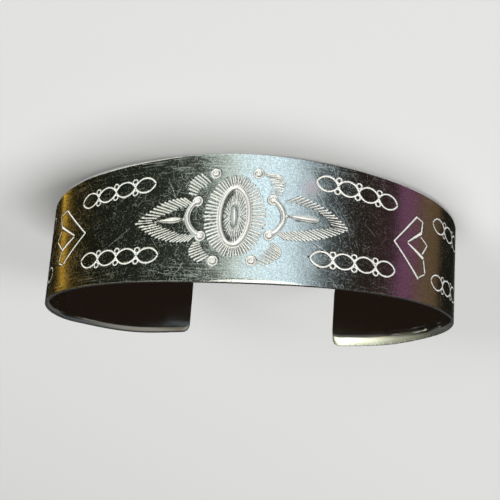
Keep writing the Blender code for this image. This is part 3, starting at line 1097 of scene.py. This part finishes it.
# A painted reflection: a soft lilac patch up and right of the oval, mixed into the colour and made
# less metallic so that it shows.
LILAC_REFLECTION_PLACE = (10.1, 4.9, 0.0)
LILAC_REFLECTION_COLOUR = (0.58, 0.5, 0.53, 1)
LILAC_REFLECTION_WANDER = 1.6
LILAC_REFLECTION_AMOUNT = 0.8
reflection_offset = vector_node(tree, "SUBTRACT", flat_place, LILAC_REFLECTION_PLACE)
reflection_away = tree.nodes.new("ShaderNodeVectorMath")
reflection_away.operation = "LENGTH"
attach(tree, reflection_away.inputs[0], reflection_offset)
reflection_edge = math_node(tree, "MULTIPLY_ADD", haze, LILAC_REFLECTION_WANDER, reflection_away.outputs["Value"])
lilac_reflection = ramp_between(tree, reflection_edge, low=2.7, high=1.1)
lilac_reflection = math_node(tree, "MULTIPLY", lilac_reflection, outer)
colour = mixed(tree, math_node(tree, "MULTIPLY", lilac_reflection, LILAC_REFLECTION_AMOUNT), colour, LILAC_REFLECTION_COLOUR)
attach(tree, shader.inputs["Base Color"], colour)
STRUCK_FROST = 0.71
RAISED_FROST = 0.5
LILAC_REFLECTION_FROST = 0.3
frosting = math_node(tree, "MULTIPLY", struck, STRUCK_FROST)
frosting = math_node(tree, "MULTIPLY_ADD", raised_share, RAISED_FROST, frosting)
frosting = math_node(tree, "MULTIPLY_ADD", lilac_reflection, LILAC_REFLECTION_FROST, frosting, clamp=True)
attach(tree, shader.inputs["Metallic"], rest_of(tree, frosting))
cuff.data.materials.clear()
cuff.data.materials.append(silver)

# The studio
# A pale paper floor under soft lights. Polished silver shows what stands round it, so a pale
# card stands in front of it, gold, purple and brown ones at its sides, and dark ones between.
def studio_material(name, inputs):
    """A plain material, its shader's inputs set by their names."""
    material = bpy.data.materials.new(name)
    material.use_nodes = True
    for label, value in inputs.items():
        material.node_tree.nodes["Principled BSDF"].inputs[label].default_value = value
    return material


bpy.ops.object.select_all(action="DESELECT")
bpy.ops.mesh.primitive_plane_add(size=4.0, location=(0, 0, 0))
floor = bpy.context.object
floor.name = "studio_floor"
floor.data.materials.append(studio_material("pale_paper", {
    "Base Color": (0.66, 0.66, 0.65, 1),
    "Roughness": 0.9,
    "Specular IOR Level": 0.1,
}))
floor.visible_glossy = False

bpy.ops.object.select_all(action="DESELECT")
# A dark card inside the loop, seen only in reflections, paints dark brown shade on the inner faces
# of the arms.
CARD_POINTS = 120
CARD_REACH = 45 * MM
CARD_ABOVE_FLOOR = 0.02 * MM
CARD_CLEAR = 0.5 * MM
bpy.ops.mesh.primitive_circle_add(vertices=CARD_POINTS, radius=1.0, fill_type="NGON")
shade_card = bpy.context.object
shade_card.name = "painted_shade_card"
card_right = np.linspace(-SIDE_PLACE, SIDE_PLACE, CARD_POINTS)
card_x, card_y = bent(card_right, -SHEET)
card_y += cad_low[1] + CARD_CLEAR
card_y[[0, -1]] = CARD_REACH
card_z = np.full(CARD_POINTS, CARD_ABOVE_FLOOR)
card_places = np.stack([card_x, card_y, card_z], axis=1)
shade_card.data.vertices.foreach_set("co", card_places.ravel())
shade_card.data.materials.append(studio_material("painted_shade_card", {
    "Base Color": (0, 0, 0, 1),
    "Specular IOR Level": 0,
    "Emission Color": (0.013, 0.0085, 0.006, 1),
    "Emission Strength": 1.0,
}))
shade_card.visible_camera = False
shade_card.visible_diffuse = False
shade_card.visible_shadow = False

studio = bpy.data.worlds.new("studio")
bpy.context.scene.world = studio
studio.use_nodes = True
studio.cycles_visibility.diffuse = False
sky = studio.node_tree
background = sky.nodes["Background"]
direction = sky.nodes.new("ShaderNodeTexCoord").outputs["Generated"]
sky_axes = axes_of(sky, direction)
towards_front = math_node(sky, "MULTIPLY", sky_axes["Y"], -1.0)
bearing = math_node(sky, "ARCTAN2", sky_axes["X"], towards_front)
bearing = math_node(sky, "MULTIPLY_ADD", bearing, 0.5 / math.pi, 0.5)
level = math_node(sky, "ARCSINE", sky_axes["Z"])


def cards_round(bearing_here, colours):
    """Cards of several colours set round the cuff: pairs of a bearing in degrees and a colour."""
    ramp = sky.nodes.new("ShaderNodeValToRGB")
    attach(sky, ramp.inputs[0], bearing_here)
    stops = ramp.color_ramp.elements
    while len(stops) < len(colours):
        stops.new(0.5)
    for stop, (degrees, colour_here) in zip(stops, colours):
        stop.position = degrees / 360 + 0.5
        stop.color = (*colour_here, 1)
    return ramp.outputs["Color"]


# The cards lean: their bearing shifts with the level, and more so further round the cuff. The
# front of the cuff mirrors what lies 19 degrees below its own level.
MIRRORED_LEVEL = 19.0
RAKE_AT_FRONT = 0.9 / 360
RAKE_ROUND = 0.015
tilt = math_node(sky, "MULTIPLY_ADD", level, 180 / math.pi, MIRRORED_LEVEL)
round_cuff = math_node(sky, "SUBTRACT", bearing, 0.5)
rake = math_node(sky, "MULTIPLY_ADD", round_cuff, RAKE_ROUND, RAKE_AT_FRONT)
raked = math_node(sky, "MULTIPLY_ADD", tilt, rake, bearing)
low_cards = cards_round(raked, [
    (-160, (0.1, 0.105, 0.1)),
    (-150, (0.012, 0.012, 0.009)),
    (-125, (0.012, 0.012, 0.009)),
    (-115, (0.014, 0.014, 0.011)),
    (-111, (0.12, 0.078, 0.038)),
    (-94, (0.14, 0.098, 0.054)),
    (-89, (0.13, 0.072, 0.065)),
    (-84, (0.16, 0.068, 0.11)),
    (-73, (0.19, 0.072, 0.16)),
    (-70, (0.045, 0.028, 0.028)),
    (-50, (0.022, 0.016, 0.012)),
    (-38, (0.03, 0.03, 0.027)),
    (-31, (0.074, 0.088, 0.09)),
    (-23, (0.36, 0.45, 0.49)),
    (-15, (0.88, 1.1, 1.24)),
    (-4, (0.98, 1.28, 1.44)),
    (5, (0.98, 1.2, 1.32)),
    (12, (0.84, 0.96, 0.84)),
    (19, (0.15, 0.172, 0.14)),
    (26, (0.038, 0.046, 0.034)),
    (45, (0.02, 0.026, 0.018)),
    (75, (0.01, 0.013, 0.008)),
    (98, (0.014, 0.013, 0.007)),
    (104, (0.02, 0.016, 0.007)),
    (106, (1.2, 0.7, 0.08)),
    (108.8, (1.2, 0.7, 0.08)),
    (110, (0.014, 0.013, 0.008)),
    (152, (0.008, 0.008, 0.006)),
    (162, (0.1, 0.105, 0.1)),
])
high_cards = cards_round(bearing, [
    (-180, (0.03, 0.03, 0.03)),
    (-120, (0.08, 0.09, 0.1)),
    (-92, (0.11, 0.12, 0.12)),
    (-64, (0.26, 0.26, 0.23)),
    (-44, (0.33, 0.32, 0.28)),
    (-34, (0.2, 0.18, 0.14)),
    (-25, (0.1, 0.1, 0.1)),
    (-20, (2.0, 2.1, 2.1)),
    (8, (2.1, 2.2, 2.1)),
    (14, (0.2, 0.21, 0.18)),
    (24, (0.2, 0.21, 0.18)),
    (32, (1.0, 1.1, 0.9)),
    (40, (2.0, 2.1, 1.75)),
    (60, (0.9, 0.95, 0.75)),
    (72, (0.45, 0.47, 0.36)),
    (100, (0.2, 0.2, 0.15)),
    (125, (0.06, 0.06, 0.05)),
    (150, (0.014, 0.014, 0.012)),
])
below_cards = cards_round(bearing, [
    (-40, (0.03, 0.03, 0.03)),
    (-28, (0.8, 0.85, 0.85)),
    (20, (1.4, 1.4, 1.3)),
    (120, (1.4, 1.4, 1.3)),
    (132, (0.04, 0.04, 0.03)),
])
HIGH_EDGES = (math.radians(0), math.radians(12))
OVERHEAD_EDGES = (math.radians(38), math.radians(52))
BELOW_EDGES = (math.radians(-50), math.radians(-38))
OVERHEAD_COLOUR = (0.08, 0.08, 0.075, 1)
BACKDROP_COLOUR = (0.8, 0.8, 0.79, 1)
high = ramp_between(sky, level, *HIGH_EDGES)
overhead = ramp_between(sky, level, *OVERHEAD_EDGES)
below = rest_of(sky, ramp_between(sky, level, *BELOW_EDGES))
tent = mixed(sky, high, low_cards, high_cards)
tent = mixed(sky, overhead, tent, OVERHEAD_COLOUR)
tent = mixed(sky, below, tent, below_cards)
seen = sky.nodes.new("ShaderNodeLightPath").outputs["Is Camera Ray"]
attach(sky, background.inputs["Color"], mixed(sky, seen, tent, BACKDROP_COLOUR))

soft_lights = [
    {"place": (0.36, -0.54, 0.12), "size": 0.35, "energy": 5.1},
    {"place": (-0.62, -0.2, 0.3), "size": 0.4, "energy": 3.8},
    {"place": (-0.1, 0.3, 0.8), "size": 0.6, "energy": 6.0},
]
for soft_light in soft_lights:
    bpy.ops.object.light_add(type="AREA", location=soft_light["place"])
    light = bpy.context.object
    light.data.energy = soft_light["energy"]
    light.data.size = soft_light["size"]
    light.rotation_euler = Vector(soft_light["place"]).to_track_quat("Z", "Y").to_euler()
    light.visible_glossy = False

CAMERA_PLACE = (-25.19 * MM, -190.4 * MM, 96.03 * MM)
CAMERA_TURN = (math.radians(-64.486), math.radians(4.407), math.radians(174.525))
LENS = 103.52
bpy.ops.object.camera_add(location=CAMERA_PLACE, rotation=CAMERA_TURN)
camera = bpy.context.object
camera.data.sensor_width = 36.0
camera.data.lens = LENS
camera.data.clip_start = 0.01
camera.data.clip_end = 10.0
bpy.context.scene.camera = camera
bpy.context.scene.view_settings.view_transform = "Standard"
